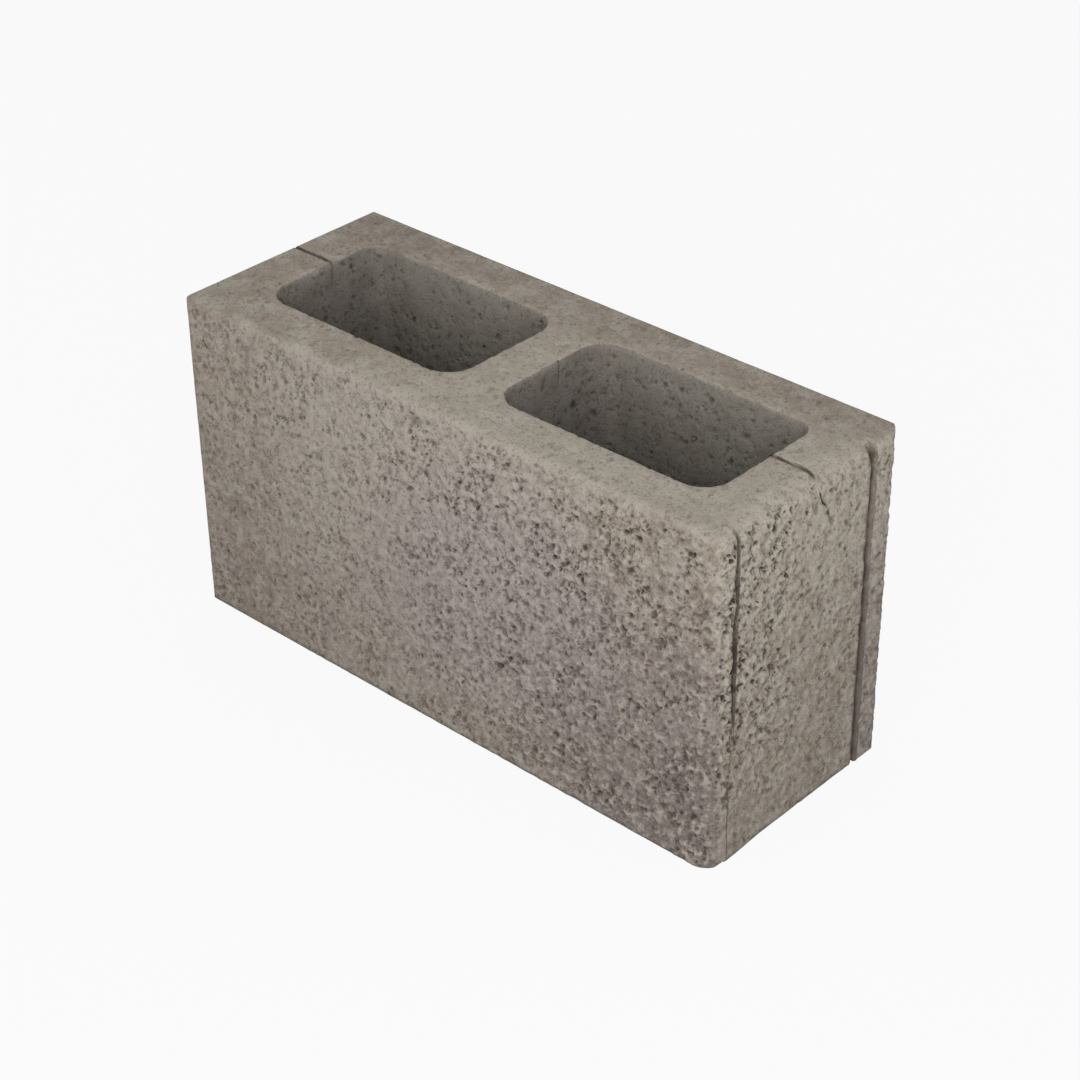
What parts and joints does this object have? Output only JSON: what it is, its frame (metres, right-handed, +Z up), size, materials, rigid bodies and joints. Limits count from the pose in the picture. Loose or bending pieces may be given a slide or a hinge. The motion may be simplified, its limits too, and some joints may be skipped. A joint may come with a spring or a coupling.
{
  "type": "hollow concrete block",
  "caption": "Hollow concrete masonry block with two tapered upright cores, a plain end and an end with two shallow ribs and grooves.",
  "frame": {"origin": "middle of the bottom bed face, on which the block stands", "axes": "+X along the length towards the ribbed end, +Y across the width from the front face to the back face, +Z up along the cores"},
  "size_m": [0.39, 0.15, 0.205],
  "materials": {
    "concrete": "rough open-textured cast concrete, warm grey"
  },
  "bodies": {
    "root": {"block": "concrete"}
  },
  "joints": []
}
